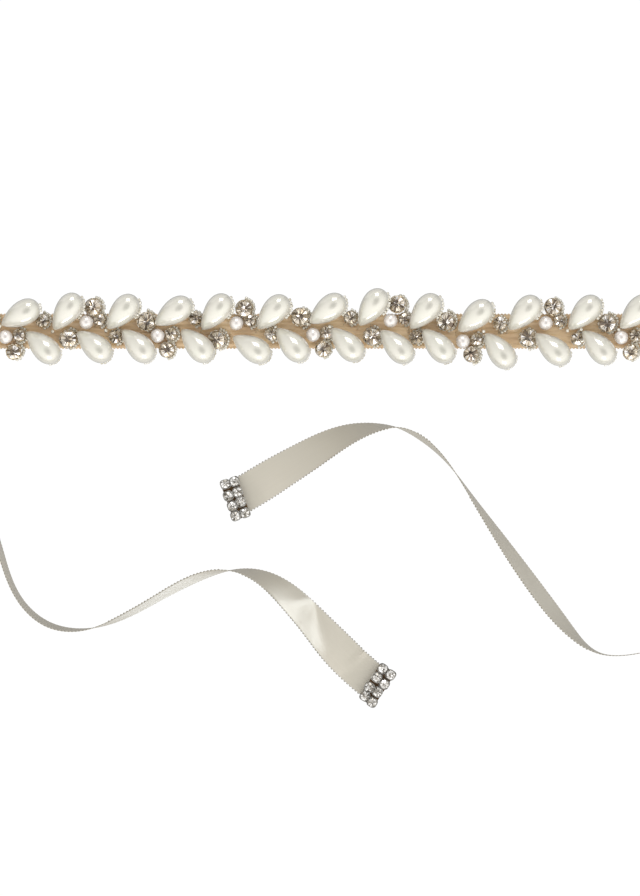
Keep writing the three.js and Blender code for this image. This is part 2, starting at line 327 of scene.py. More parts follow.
def ribbon_mesh():
    count = RIBBON_SPANS + 1
    steps = round(ribbon_path.length / RIBBON_STEP)
    points, faces, threads = [], [], []
    half = RIBBON_THICKNESS / 2
    for step in range(steps + 1):
        distance = ribbon_path.length * step / steps
        middle, normals = ribbon_path.section(distance, count)
        top = [p + n * half for p, n in zip(middle, normals)]
        under = [p - n * half for p, n in zip(middle, normals)]
        points += top + under[::-1]
        across = [i * RIBBON_WIDTH / RIBBON_SPANS for i in range(count)]
        threads += [(distance, a, 1) for a in across] + [(distance, a, 0) for a in across[::-1]]
    ring = 2 * count
    for step in range(steps):
        low, high = step * ring, (step + 1) * ring
        for k in range(ring):
            n = (k + 1) % ring
            faces.append((low + k, high + k, high + n, low + n))
    faces.append(tuple(range(ring)))
    faces.append(tuple(steps * ring + k for k in reversed(range(ring))))
    mesh = mesh_from("satin_ribbon", points, faces, sharp=50)
    weave = mesh.attributes.new("weave", "FLOAT_VECTOR", "POINT")
    weave.data.foreach_set("vector", [v for thread in threads for v in thread])
    return mesh


class Value:
    """An output in a finish's tree. Arithmetic on it adds Math nodes to the tree."""

    def __init__(self, finish, socket):
        self.finish, self.socket = finish, socket

    def maths(self, operation, *others):
        return self.finish.node("ShaderNodeMath", {"operation": operation}, (self, *others))

    def __add__(self, other):
        return self.maths("ADD", other)

    def __sub__(self, other):
        return self.maths("SUBTRACT", other)

    def __rsub__(self, other):
        return self.finish.node("ShaderNodeMath", {"operation": "SUBTRACT"}, (other, self))

    def __mul__(self, other):
        return self.maths("MULTIPLY", other)


class Finish:
    """The nodes of a material, or of the room. node adds one of any type: its settings are set
    first, and its inputs are values or links, in order or by name."""

    def __init__(self, name, owners=bpy.data.materials):
        self.owner = owners.new(name)
        self.owner.use_nodes = True
        self.tree = self.owner.node_tree
        self.tree.nodes.clear()

    def node(self, kind, settings=None, inputs=(), output=0):
        node = self.tree.nodes.new(kind)
        settings = dict(settings or {})
        stops = settings.pop("stops", None)
        for name, value in settings.items():
            setattr(node, name, value)
        if stops:
            ramp = node.color_ramp
            while len(ramp.elements) < len(stops):
                ramp.elements.new(1)
            for element, (place, colour) in zip(ramp.elements, stops):
                element.position, element.color = place, (*colour, 1)
        named = inputs.items() if isinstance(inputs, dict) else enumerate(inputs)
        for name, value in named:
            if isinstance(value, Value):
                self.tree.links.new(value.socket, node.inputs[name])
            else:
                node.inputs[name].default_value = value
        return Value(self, node.outputs[output]) if len(node.outputs) else None

    def part(self, vector, axis):
        return self.node("ShaderNodeSeparateXYZ", {}, {0: vector}, output="XYZ".index(axis))

    def noise(self, scale, detail=2.0, vector=None):
        """Noise over a vector, or over the place in the scene."""
        vector = vector or self.node("ShaderNodeNewGeometry")
        inputs = {"Vector": vector, "Scale": scale, "Detail": detail}
        return self.node("ShaderNodeTexNoise", {}, inputs)

    def bump(self, height, strength, distance):
        inputs = {"Height": height, "Strength": strength, "Distance": distance}
        return self.node("ShaderNodeBump", {}, inputs)

    def share(self, value, low, high, curve="LINEAR"):
        """How far a value is from one bound to the other, from 0 to 1."""
        inputs = {"Value": value, "From Min": low, "From Max": high}
        return self.node("ShaderNodeMapRange", {"interpolation_type": curve}, inputs)

    def mix(self, factor, a, b):
        """Mixes two colours, each a link or a red, green, blue triple."""
        pair = [c if isinstance(c, Value) else (*c, 1) for c in (a, b)]
        settings = {"data_type": "RGBA", "clamp_factor": True}
        return self.node("ShaderNodeMix", settings, {0: factor, 6: pair[0], 7: pair[1]}, output=2)

    def surface(self, **inputs):
        """The Principled shader, with colours as triples, wired to the output."""
        named = {}
        for name, value in inputs.items():
            key = name.replace("_", " ")
            named[key] = (*value, 1) if isinstance(value, tuple) and len(value) == 3 else value
        shader = self.node("ShaderNodeBsdfPrincipled", {}, named)
        self.node("ShaderNodeOutputMaterial", {}, {"Surface": shader})
        return self.owner


SATIN = (0.55, 0.51, 0.42)
SATIN_DEEP = (0.52, 0.478, 0.39)
# Painted shade for the band's upper face between the beads: a warm tan, lighter and deeper, warmed by
# painted light thrown back from the beads.
SATIN_PAINTED_BEAD_SHADE = (0.84, 0.615, 0.35)
SATIN_PAINTED_DEEP_SHADE = (0.70, 0.475, 0.25)
SATIN_STREAKS = {"along": 22, "across": 1500}  # to the metre
SATIN_UNEVEN = {"along": 900, "across": 260}
THREAD_PITCH = 0.16 * MM
BAND_FADE = {"from": BAND_HALF + 2 * MM, "to": BAND_HALF - 3 * MM}  # where the tails' colour ends and the band's painted shade begins


def satin_finish():
    satin = Finish("satin")
    weave = satin.node("ShaderNodeAttribute", {"attribute_name": "weave"}, output=1)
    along, across, upper = (satin.part(weave, axis) for axis in "XYZ")
    away = (along - (ribbon_path.left.length + BAND_HALF)).maths("ABSOLUTE")
    in_band = satin.share(away, BAND_FADE["from"], BAND_FADE["to"], "SMOOTHSTEP")
    woven = [
        satin.node("ShaderNodeCombineXYZ", {}, (along * grain["along"], across * grain["across"], upper))
        for grain in (SATIN_STREAKS, SATIN_UNEVEN)
    ]
    streak = satin.noise(1.0, 3.0, woven[0])
    cloth = satin.mix(streak, SATIN_DEEP, SATIN)
    # Painted shade under the beads, in patches of two depths.
    shade = satin.share(satin.noise(90.0, vector=weave), 0.4, 0.6)
    painted_bead_shade = satin.mix(shade, SATIN_PAINTED_BEAD_SHADE, SATIN_PAINTED_DEEP_SHADE)
    floats = (across * (2 * math.pi / THREAD_PITCH)).maths("SINE")
    relief = floats * 0.35 + satin.noise(1.0, vector=woven[1]) * 0.65
    return satin.surface(
        # Only the band's upper face takes the painted shade; elsewhere the satin keeps its own streaked
        # colour.
        Base_Color=satin.mix(in_band * upper, cloth, painted_bead_shade),
        Roughness=streak * 0.08 + 0.3,
        Metallic=0.1 - in_band * 0.05,
        IOR=1.8,
        Normal=satin.bump(relief, 0.25, 0.05 * MM),
    )


satin_material = satin_finish()
ribbon = new_piece("satin_ribbon", ribbon_mesh(), satin_material)
ribbon_nodes = ["ribbon_middle"]
ribbon_nodes += [f"ribbon_{side}_{i}" for side in ("left", "right") for i in range(1, 6)]
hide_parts(*ribbon_nodes)

# Picots
# The small loops that the weft makes past both selvedges, one every 1.4 mm. They are the same thread as
# the cloth, packed tighter, and stand out a little under half a millimetre. Their dark colour is partly
# the tight packing and partly painted shade in the small loops.

PICOT_PITCH = 1.42 * MM
PICOT_SPAN = 0.72 * MM  # between a loop's two feet
PICOT_THREAD = 0.17 * MM  # radius
PICOT_STEPS = 5
PICOT_SIDES = 4
PICOT_DROOP = 0.85  # how far a loop on a standing edge falls outwards


def tube_ring(centre, along, up, radius, sides):
    """A ring of points round a tube's centre line."""
    out = along.cross(up).normalized()
    over = out.cross(along).normalized()
    turns = [2 * math.pi * k / sides for k in range(sides)]
    return [centre + (out * math.cos(t) + over * math.sin(t)) * radius for t in turns]


def tube_faces(start, rings, sides, closed=False):
    """The faces of a tube whose rings of points follow each other from one index on."""
    faces = []
    for ring in range(rings if closed else rings - 1):
        low, high = start + ring * sides, start + ((ring + 1) % rings) * sides
        for k in range(sides):
            n = (k + 1) % sides
            faces.append((low + k, low + n, high + n, high + k))
    if not closed:
        faces.append(tuple(start + k for k in reversed(range(sides))))
        faces.append(tuple(start + (rings - 1) * sides + k for k in range(sides)))
    return faces


def picot_mesh(name, edge):
    """The loops of one selvedge: edge is -1 for the lower one and 1 for the raised one."""
    points, faces = [], []
    loops = int(ribbon_path.length / PICOT_PITCH)
    count = RIBBON_SPANS + 1
    foot_at, inner_at = (0, 2) if edge < 0 else (count - 1, count - 3)
    for loop in range(loops):
        middle, normals = ribbon_path.section((loop + 0.5) * PICOT_PITCH, count)
        before, _ = ribbon_path.section((loop + 0.4) * PICOT_PITCH, count)
        foot, normal = middle[foot_at], normals[foot_at]
        out = (foot - middle[inner_at]).normalized()
        along = (foot - before[foot_at]).normalized()
        flat = Vector((out.x, out.y, 0))
        if flat.length > 0.1:
            out = out.lerp(flat.normalized(), PICOT_DROOP * smooth(out.z * 1.5)).normalized()
            normal = out.cross(along).normalized()
        start = len(points)
        for step in range(PICOT_STEPS + 1):
            turn = math.pi * step / PICOT_STEPS
            place = foot - along * math.cos(turn) * PICOT_SPAN / 2
            place = place + out * (math.sin(turn) * PICOT_REACH - PICOT_THREAD)
            way = along * math.sin(turn) + out * math.cos(turn)
            points += tube_ring(place, way.normalized(), normal, PICOT_THREAD, PICOT_SIDES)
        faces += tube_faces(start, PICOT_STEPS + 1, PICOT_SIDES)
    return mesh_from(name, points, faces)


# The loops' colour, much darker than the cloth's: partly painted shade.
PICOT_PAINTED_SHADE = (0.24, 0.22, 0.18)


def picot_finish():
    picot = Finish("picot_thread")
    place = picot.node("ShaderNodeNewGeometry")
    grain = picot.noise(2600.0, vector=place)
    aside = (picot.part(place, "X") - BAND.x).maths("ABSOLUTE")
    beside = picot.share(picot.part(place, "Y"), BAND.y - 14 * MM, BAND.y - 10 * MM)
    in_band = picot.share(aside, BAND_FADE["from"], BAND_FADE["to"]) * beside
    # Next to the band the loops take the ribbon's painted shade from the beads.
    colour = picot.mix(in_band, picot.mix(grain * 0.5, PICOT_PAINTED_SHADE, SATIN_DEEP), SATIN_PAINTED_BEAD_SHADE)
    bump = picot.bump(grain, 0.3, 0.04 * MM)
    return picot.surface(Base_Color=colour, Roughness=grain * 0.2 + 0.55, Normal=bump)


picot_material = picot_finish()
picots = [
    new_piece(f"picots_{name}", picot_mesh(f"picots_{name}", edge), picot_material)
    for name, edge in (("lower", -1), ("raised", 1))
]

# Drop pearls
# Large imitation pearls of coated plastic, 18 by 10.5 mm, pierced through the narrow end and
# sewn down there, so that the round end lies outward over the ribbon's edge.

DROP_RADIUS = 5.25 * MM
DROP_LENGTH = 18.0 * MM
DROP_FULLNESS = 1.0  # 0 gives an egg, 1 a cone with a round end
DROP_BLUNT = 0.22  # how blunt the pierced tip is
DROP_FOOT = 0.6 * MM  # from the solid's sharp tip to the pierced one
DROP_SIDES = 40
DROP_RINGS = 30


def drop_axis(node):
    """A drop pearl's tip and far end, the two points of its node that are furthest apart."""
    points = [v.co.copy() for v in frame["nodes"][node].data.vertices]
    pairs = ((a, b) for i, a in enumerate(points) for b in points[i + 1 :])
    a, b = max(pairs, key=lambda pair: (pair[0] - pair[1]).length_squared)
    return (a, b) if a.z < b.z else (b, a)


def drop_outline(turn):
    """A drop's outline before it is scaled, with turn from 0 at the tip to pi at the far end."""
    flank = (math.sin(turn / 2) ** 2 + DROP_BLUNT) / (1 + DROP_BLUNT)
    return math.sin(turn) * flank ** (DROP_FULLNESS / 2)


DROP_WIDEST = max(drop_outline(math.pi * step / 360) for step in range(360))


def drop_radius(share):
    """A drop pearl's radius at a share of its length from the tip."""
    turn = math.acos(1 - 2 * min(max(share, 0), 1))
    return DROP_RADIUS * drop_outline(turn) / DROP_WIDEST


def turned_form(rows, sides, square=0.0):
    """A closed form turned about Z from (radius, height) rows, of which a radius of 0 is a single
    point. square draws it out to four corners."""
    points, faces, rings = [], [], []
    for radius, height in rows:
        if radius == 0:
            rings.append([len(points)] * sides)
            points.append((0, 0, height))
            continue
        rings.append([len(points) + k for k in range(sides)])
        for k in range(sides):
            turn = 2 * math.pi * k / sides
            out = radius * (1 + square * (1 - math.cos(4 * turn)) / 2)
            points.append(polar(out, turn, height))
    for low, high in zip(rings, rings[1:]):
        for k in range(sides):
            n = (k + 1) % sides
            corners = [low[k], low[n], high[n], high[k]]
            faces.append(tuple(c for i, c in enumerate(corners) if c not in corners[:i]))
    return points, faces


def drop_mesh():
    profile = []
    for ring in range(DROP_RINGS + 1):
        share = (1 - math.cos(math.pi * ring / DROP_RINGS)) / 2
        radius = 0 if ring in (0, DROP_RINGS) else drop_radius(share)
        profile.append((radius, share * DROP_LENGTH))
    return mesh_from("drop_pearl", *turned_form(profile, DROP_SIDES))


DROP_NACRE = {"body": (0.72, 0.695, 0.615), "rose": (0.745, 0.69, 0.62), "green": (0.69, 0.70, 0.59)}
ROUND_NACRE = {"body": (0.86, 0.81, 0.77), "rose": (0.90, 0.81, 0.79), "green": (0.82, 0.80, 0.74)}


def pearl_finish(name, nacre):
    pearl = Finish(name)
    cloud = pearl.noise(180.0)
    warm = pearl.mix(cloud, nacre["green"], nacre["rose"])
    skin = pearl.noise(900.0, 3.0)
    return pearl.surface(
        Base_Color=pearl.mix(cloud, warm, nacre["body"]),
        Roughness=skin * 0.06 + 0.14,
        Metallic=0.28,
        Normal=pearl.bump(skin, 0.05, 0.05 * MM),
        Coat_Weight=1.0,
        Coat_Roughness=0.06,
        Sheen_Weight=0.6,
        Sheen_Roughness=0.35,
    )


pearl_material = pearl_finish("pearl", DROP_NACRE)
drop_nodes = sorted(n for n in frame["nodes"] if n.startswith("drop_"))
drops = {node: drop_axis(node) for node in drop_nodes}
drop_form = drop_mesh()
for node, (tip, far) in drops.items():
    drop = new_piece(f"pearl_{node}", drop_form, pearl_material)
    drop.rotation_mode = "QUATERNION"
    drop.rotation_quaternion = (far - tip).to_track_quat("Z", "Y")
    drop.location = tip + (far - tip).normalized() * DROP_FOOT
    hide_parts(node)

# Stones of the band
# Where the round pearls and the crystals are sewn between the drops. They repeat with every third
# column of beads, each column a little off its place, as sewn by hand.

COLUMN_PITCH = 21.25 * MM
COLUMN_COUNT = 21
FIRST_ROW = 11
STONE_REPEAT = 3
STONE_FOOT = 0.88 * MM  # the height of the ribbon's upper face, which they stand on

# How far each column's stones are from their place, along and across the ribbon, in millimetres.
COLUMNS = table(
    "shift sag",
    (0.2, 0.1),
    (1.2, 0.0),
    (0.6, 0.0),
    (-0.7, 0.6),
    (-0.5, -0.4),
    (1.3, 1.1),
    (-0.1, 1.0),
    (-0.5, 0.7),
    (-2.4, -0.1),
    (-1.9, -1.7),
    (-0.1, -0.3),
    (0.4, -1.0),
    (-0.2, -0.1),
    (0.3, -0.3),
    (-0.4, 0.3),
)

# The stones of a column, in millimetres from its start and from the ribbon's middle line.
STONES = table(
    "column kind along across radius height",
    (0, "pearl", -0.1, -2.5, 2.9, 5.8),
    (0, "crystal", 5.7, -1.9, 2.8, 3.6),
    (0, "crystal", 3.7, -8.3, 3.4, 4.2),
    (0, "crystal", 15.2, 4.5, 3.0, 3.8),
    (1, "crystal", 3.5, -3.0, 4.0, 4.6),
    (1, "pearl", 11.1, 3.6, 2.9, 5.8),
    (1, "crystal", 14.2, 10.0, 3.8, 4.4),
    (1, "crystal", 16.7, 4.6, 2.7, 3.5),
    (2, "crystal", 2.4, -2.2, 3.0, 3.8),
    (2, "crystal", 14.8, 4.4, 4.0, 4.6),
)


def placed_stones():
    """Each stone of the band: its kind, foot, radius and height."""
    stones = []
    for i in range(COLUMN_COUNT):
        row = (FIRST_ROW + i) % len(COLUMNS)
        start = (i - COLUMN_COUNT / 2) * COLUMN_PITCH + COLUMNS[row]["shift"] * MM
        for stone in STONES:
            if stone["column"] != row % STONE_REPEAT:
                continue
            across = (stone["across"] + COLUMNS[row]["sag"]) * MM
            foot = BAND + Vector((start + stone["along"] * MM, across, STONE_FOOT))
            size = {"radius": stone["radius"] * MM, "height": stone["height"] * MM}
            stones.append({"kind": stone["kind"], "foot": foot, **size})
    return stones


stones = placed_stones()

# Round pearls
# Imitation pearls of 5.8 mm, drilled through and sewn down between the points of the drops, with
# the hole lying along the ribbon.

PEARL_SIDES = 32
PEARL_RINGS = 20
PEARL_HOLE = 0.45 * MM


def round_pearl_mesh(radius):
    """A drilled pearl: its profile starts and ends inside the hole."""
    open_turn = math.asin(PEARL_HOLE / radius)
    inside, foot = PEARL_HOLE * 0.9, -radius * 0.6
    profile = [(0, foot), (inside, foot)]
    for ring in range(PEARL_RINGS + 1):
        turn = open_turn + (math.pi - 2 * open_turn) * ring / PEARL_RINGS
        profile.append((radius * math.sin(turn), -radius * math.cos(turn)))
    profile += [(inside, -foot), (0, -foot)]
    return mesh_from("round_pearl", *turned_form(profile, PEARL_SIDES), sharp=50)


round_pearl_material = pearl_finish("round_pearl", ROUND_NACRE)
pearl_stones = [s for s in stones if s["kind"] == "pearl"]
round_pearl_form = round_pearl_mesh(pearl_stones[0]["radius"])
pearl_draws = random.Random(7)
for number, stone in enumerate(pearl_stones, 1):
    piece_name = f"round_pearl_{number:02d}"
    pearl = new_piece(piece_name, round_pearl_form, round_pearl_material)
    pearl.location = stone["foot"] + Vector((0, 0, stone["radius"]))
    pearl.rotation_euler = (math.pi / 2, pearl_draws.uniform(-0.2, 0.2), math.pi / 2)

# Cut crystals
# Foil-backed glass stones with a flat table and a faceted crown, in three sizes. Seen from above, the cut
# of the back shows through as a star of bright and dark facets; here that star is painted into the
# facets' colours as painted reflections.

CRYSTAL_SECTORS = 18
# Rings of a crystal's upper face from the girdle in: share of its radius, and height in shares of
# the crown.
CRYSTAL_RINGS = table(
    "radius height",
    (1.0, 0.0),
    (0.86, 0.55),
    (0.36, 1.0),
)
CRYSTAL_HEART = 0.86  # height of the star's middle, in shares of the crown
CRYSTAL_WOBBLE = 0.08  # how far the rings' points stray, in shares of the radius and the crown
GIRDLE_DEPTH = 0.2  # in shares of the crown
GIRDLE_SHARE = 0.62  # of a stone's height, where its setting ends
# Facet colours, painted reflections bright and dark, each with how often it is drawn: at the rim, for the
# wedges that point in and the ones that point out, and in the heart
FACET_PAINTED_REFLECTIONS = table(
    "colour rim inward outward heart",
    ((0.90, 0.87, 0.84), 3, 3, 0, 1),
    ((0.64, 0.57, 0.47), 5, 5, 1, 1),
    ((0.33, 0.26, 0.17), 4, 3, 2, 2),
    ((0.09, 0.055, 0.03), 2, 1, 7, 5),
    ((0.025, 0.015, 0.008), 1, 0, 5, 5),
)


def crystal_form(radius, crown, draws, painted_reflections):
    """A crystal's upper face and girdle, as points, faces and a painted reflection colour for each face.
    """
    points, faces, colours = [], [], []

    def facet(zone, *corners):
        faces.append(corners)
        colours.append(draws.choices(painted_reflections, [tone[zone] for tone in painted_reflections])[0]["colour"])

    foot = -crown * GIRDLE_DEPTH
    points.append((0, 0, foot))
    count = CRYSTAL_SECTORS
    points += [polar(radius, 2 * math.pi * k / count, foot) for k in range(count)]
    for n, ring in enumerate(CRYSTAL_RINGS):
        stray = CRYSTAL_WOBBLE * (n > 0)
        for k in range(count):
            turn = 2 * math.pi * (k + 0.5 * (n % 2)) / count
            away = radius * (ring["radius"] + draws.uniform(-stray, stray) / 2)
            height = crown * (ring["height"] + draws.uniform(-stray, stray) * 1.5)
            points.append(polar(away, turn, height))
    points.append((0, 0, crown * CRYSTAL_HEART))
    for k in range(count):
        after = (k + 1) % count
        facet("rim", 0, 1 + after, 1 + k)
        facet("rim", 1 + k, 1 + after, 1 + count + after, 1 + count + k)
    rim, crown_ring, top = (1 + count * (n + 1) for n in range(3))
    for k in range(count):
        after = (k + 1) % count
        facet("rim", rim + k, rim + after, crown_ring + k)
        facet("rim", crown_ring + k, rim + after, crown_ring + after)
        facet("outward", crown_ring + k, top + after, top + k)
        facet("inward", crown_ring + k, crown_ring + after, top + after)
    last = 1 + count * len(CRYSTAL_RINGS)
    for k in range(count):
        facet("heart", last + k, last + (k + 1) % count, len(points) - 1)
    return points, faces, colours


def joined_mesh(name, forms, sharp=None):
    """One mesh of many forms, each points, faces, face colours or None, and its place."""
    points, faces, colours = [], [], []
    for form_points, form_faces, form_colours, place in forms:
        start = len(points)
        points += [place @ Vector(p) for p in form_points]
        faces += [tuple(start + i for i in face) for face in form_faces]
        colours += form_colours or [(1, 1, 1)] * len(form_faces)
    mesh = bpy.data.meshes.new(name)
    mesh.from_pydata(points, [], faces)
    tone = mesh.attributes.new("facet", "FLOAT_COLOR", "FACE")
    tone.data.foreach_set("color", [v for colour in colours for v in (*colour, 1)])
    if sharp is not None:
        mesh.shade_smooth()
        mesh.set_sharp_from_angle(angle=math.radians(sharp))
    return mesh


def joined_piece(name, forms, finish, sharp=None):
    return new_piece(name, joined_mesh(name, forms, sharp), finish)


def tipped(draws, most):
    """A turn that tips a stone at random, by up to some degrees each way."""
    tip = Matrix.Rotation(math.radians(draws.uniform(-most, most)), 4, "X")
    roll = Matrix.Rotation(math.radians(draws.uniform(-most, most)), 4, "Y")
    return tip @ roll


def crystal_finish(name, roughness):
    crystal = Finish(name)
    # Each facet's colour is a painted reflection, bright or dark.
    tone = crystal.node("ShaderNodeAttribute", {"attribute_name": "facet"}, output=0)
    flaw = crystal.noise(1500.0)
    return crystal.surface(
        Base_Color=crystal.mix(flaw * 0.12, tone, (0.70, 0.58, 0.42)),
        Roughness=flaw * 0.05 + roughness,
        Metallic=0.75,
        Coat_Weight=1.0,
        Coat_Roughness=0.03,
    )


crystal_material = crystal_finish("foiled_crystal", 0.06)
crystal_stones = [s for s in stones if s["kind"] == "crystal"]
crystal_draws = random.Random(31)
CRYSTAL_TIP = 9  # degrees
CRYSTAL_FIT = 0.93  # a crystal's radius in shares of its setting's
for stone in crystal_stones:
    tip = tipped(crystal_draws, CRYSTAL_TIP)
    turn = Matrix.Rotation(crystal_draws.uniform(0, 2 * math.pi), 4, "Z")
    stone["place"] = Matrix.Translation(stone["foot"]) @ tip @ turn
crystal_forms = []
for stone in crystal_stones:
    crown = stone["height"] * (1 - GIRDLE_SHARE)
    form = crystal_form(stone["radius"] * CRYSTAL_FIT, crown, crystal_draws, FACET_PAINTED_REFLECTIONS)
    lift = Matrix.Translation((0, 0, stone["height"] * GIRDLE_SHARE))
    crystal_forms.append((*form, stone["place"] @ lift))
crystals = joined_piece("crystals", crystal_forms, crystal_material)

# Claw settings
# A stamped brass basket for each crystal, plated and toned pale gold. Twelve claws are bent over
# the girdle, and the thread runs through a cross of holes in the foot.

CLAWS = 12
CLAW_WIDTH = 0.6 * MM
CLAW_THICKNESS = 0.12 * MM
CLAW_SPAN = 0.2  # how far over the crown a claw reaches, in shares of the radius
BASKET_PROFILE = table(
    "radius height",
    (0.55, 0.0),
    (0.72, 0.06),
    (0.86, 0.5),
    (1.0, 0.94),
    (1.0, 1.02),
    (0.93, 1.02),
)
BASKET_FLOOR = 0.9  # where its inner face is closed, in shares of its height
BASKET_SIDES = 20


def basket_form(radius, height, square=0.0):
    """The cup of a setting, closed by a floor and an inner face, drawn out to four corners."""
    rows = [(0.0, 0.0)] + [(radius * r["radius"], height * r["height"]) for r in BASKET_PROFILE]
    return turned_form(rows + [(0.0, height * BASKET_FLOOR)], BASKET_SIDES, square)


def claw_form(radius, height, crown):
    """One bent claw: a flat strip that stands at the girdle and folds over the crown."""
    half = CLAW_WIDTH / 2
    rows = [
        (radius * 0.95, height * 0.8, half),
        (radius * 0.96, height + crown * 0.1, half),
        (radius * (1 - CLAW_SPAN / 2), height + crown * 0.4, half * 0.9),
        (radius * (1 - CLAW_SPAN), height + crown * 0.62, half * 0.5),
    ]
    thick = CLAW_THICKNESS
    points, faces = [], []
    for away, up, wide in rows:
        points += [(away, -wide, up), (away, wide, up)]
        points += [(away + thick, wide, up + thick), (away + thick, -wide, up + thick)]
    for row in range(len(rows) - 1):
        low, high = row * 4, row * 4 + 4
        for k in range(4):
            n = (k + 1) % 4
            faces.append((low + k, high + k, high + n, low + n))
    faces.append((0, 1, 2, 3))
    faces.append(tuple(len(points) - 1 - k for k in range(4)))
    return points, faces


def setting_forms(place, radius, girdle, crown, claws, first=0.0, square=0.0):
    """A setting's basket and its bent claws, of which first shifts the first by part of a gap."""
    forms = [(*basket_form(radius, girdle, square), None, place)]
    claw = claw_form(radius, girdle, crown)
    for k in range(claws):
        turn = Matrix.Rotation(2 * math.pi * (k + first) / claws, 4, "Z")
        forms.append((*claw, None, place @ turn))
    return forms


SETTING_GOLD = (0.62, 0.50, 0.32)
SETTING_SILVER = (0.80, 0.76, 0.68)


def setting_finish(name, bright, dark, roughness):
    setting = Finish(name)
    wear = setting.noise(420.0, 3.0)
    return setting.surface(
        Base_Color=setting.mix(setting.share(wear, 0.35, 0.65), dark, bright),
        Roughness=wear * 0.15 + roughness,
        Metallic=1.0,
        Normal=setting.bump(wear, 0.1, 0.03 * MM),
    )


setting_material = setting_finish("plated_setting", SETTING_SILVER, SETTING_GOLD, 0.18)
baskets = []
for stone in crystal_stones:
    girdle = stone["height"] * GIRDLE_SHARE
    crown = stone["height"] - girdle
    baskets += setting_forms(stone["place"], stone["radius"], girdle, crown, CLAWS)
settings = joined_piece("claw_settings", baskets, setting_material, sharp=40)

# Seed beads
# Clear, silver-lined glass beads of 1.5 mm. Short curved rows of them hug the right side of every drop's
# round end and of the crystals, and one covers the stitch at the tip of some of the drops.

SEED_RADIUS = 0.75 * MM
SEED_HOLE = 0.25 * MM
SEED_LONG = 1.2 * MM
SEED_PITCH = 1.2 * MM
SEED_SIDES = 10
SEED_RINGS = 7


def seed_form():
    """One bead about the Z axis: a fat ring."""
    tube = (SEED_RADIUS - SEED_HOLE) / 2
    middle = SEED_HOLE + tube
    points = []
    for k in range(SEED_SIDES):
        turn = 2 * math.pi * k / SEED_SIDES
        for n in range(SEED_RINGS):
            bend = 2 * math.pi * n / SEED_RINGS
            up = SEED_LONG / 2 * math.sin(bend)
            points.append(polar(middle + tube * math.cos(bend), turn, up))
    return points, [face[::-1] for face in tube_faces(0, SEED_SIDES, SEED_RINGS, closed=True)]


def in_a_drop(point, except_node=None):
    """Whether a bead at a point would lie in a drop pearl."""
    for node, (tip, far) in drops.items():
        if node == except_node:
            continue
        axis = (far - tip).normalized()
        along = (point - tip).dot(axis)
        away = (point - tip - axis * along).length
        share = (along - DROP_FOOT) / DROP_LENGTH
        if 0 < share < 1 and away < drop_radius(share) + SEED_RADIUS * 0.6:
            return True
    return False


def in_a_stone(point, share, past=SEED_RADIUS, except_stone=None):
    """Whether a point's plan place falls on a stone of the band."""
    others = (s for s in stones if s is not except_stone)
    return any((point - s["foot"]).xy.length < s["radius"] * share + past for s in others)


def arc_of_seeds(centre, radius, height, first, last):
    """Places of beads strung round an arc in plan, from one azimuth in degrees to another."""
    count = max(2, round(math.radians(abs(last - first)) * radius / SEED_PITCH))
    places = []
    for i in range(count + 1):
        turn = math.radians(first + (last - first) * i / count)
        out = Vector(polar(1, turn))
        along = Vector((-out.y, out.x, 0))
        places.append((centre + out * radius + Vector((0, 0, height)), along))
    return places


def hug_of_seeds(tip, far, hug):
    """Places of beads strung round a drop's flank, where it faces between two azimuths."""
    axis = (far - tip).normalized()
    side = Vector((axis.y, -axis.x, 0)).normalized()
    steps = 180
    outline = []
    for step in range(1, 2 * steps):
        turn = math.pi * step / steps
        share = (1 - math.cos(turn)) / 2
        radius = math.copysign(drop_radius(share), math.sin(turn))
        outline.append(tip + axis * (DROP_FOOT + share * DROP_LENGTH) + side * radius)
    places, since = [], SEED_PITCH
    under = math.radians(hug["under"])
    for before, after in zip(outline, outline[1:]):
        along = after - before
        since += along.length
        out = Vector((along.y, -along.x, 0)).normalized()
        azimuth = math.degrees(math.atan2(out.y, out.x))
        if hug["to"] < azimuth < hug["from"] and since >= SEED_PITCH:
            way = out * math.cos(under) - Vector((0, 0, math.sin(under)))
            drop = Vector((0, 0, math.sin(under) * DROP_RADIUS))
            inward = out * (1 - math.cos(under)) * DROP_RADIUS
            spot = before + way * SEED_RADIUS * hug["close"] - drop - inward
            places.append((spot, along.normalized()))
            since = 0
    return places


# Where a drop's row of beads runs: azimuths in degrees, how far below the drop's middle, in degrees
# round it, and how far out, in bead radii.
UPPER_HUG = {"from": 42, "to": -42, "under": 18, "close": 0.7}
LOWER_HUG = {"from": 15, "to": -84, "under": 27, "close": 0.6}
CRYSTAL_ARC = (75, -75)
TIP_SEED_SHARE = 0.4
seed_draws = random.Random(53)
seed_places = []
for node, (tip, far) in drops.items():
    hug = UPPER_HUG if "upper" in node else LOWER_HUG
    for place, along in hug_of_seeds(tip, far, hug):
        if not in_a_drop(place, node) and not in_a_stone(place, 0.6):
            seed_places.append((place, along))
    spot = tip - (far - tip).normalized() * 0.5 * MM
    if seed_draws.random() < TIP_SEED_SHARE and not in_a_stone(spot, 0.7):
        seed_places.append((spot, Vector((0, 1, 0))))
for stone in crystal_stones:
    reach = stone["radius"] + 0.3 * MM
    for place, along in arc_of_seeds(stone["foot"], reach, stone["height"] * 0.22, *CRYSTAL_ARC):
        if not in_a_stone(place, 1.0, 0.2 * MM, stone) and not in_a_drop(place):
            seed_places.append((place, along))


def seed_finish():
    seed = Finish("silver_lined_bead")
    cloud = seed.noise(700.0)
    light = seed.share(cloud, 0.35, 0.65)
    return seed.surface(
        Base_Color=seed.mix(light, (0.56, 0.51, 0.39), (0.92, 0.89, 0.81)),
        Roughness=cloud * 0.1 + 0.15,
        Metallic=0.15,
        Coat_Weight=1.0,
        Coat_Roughness=0.03,
    )


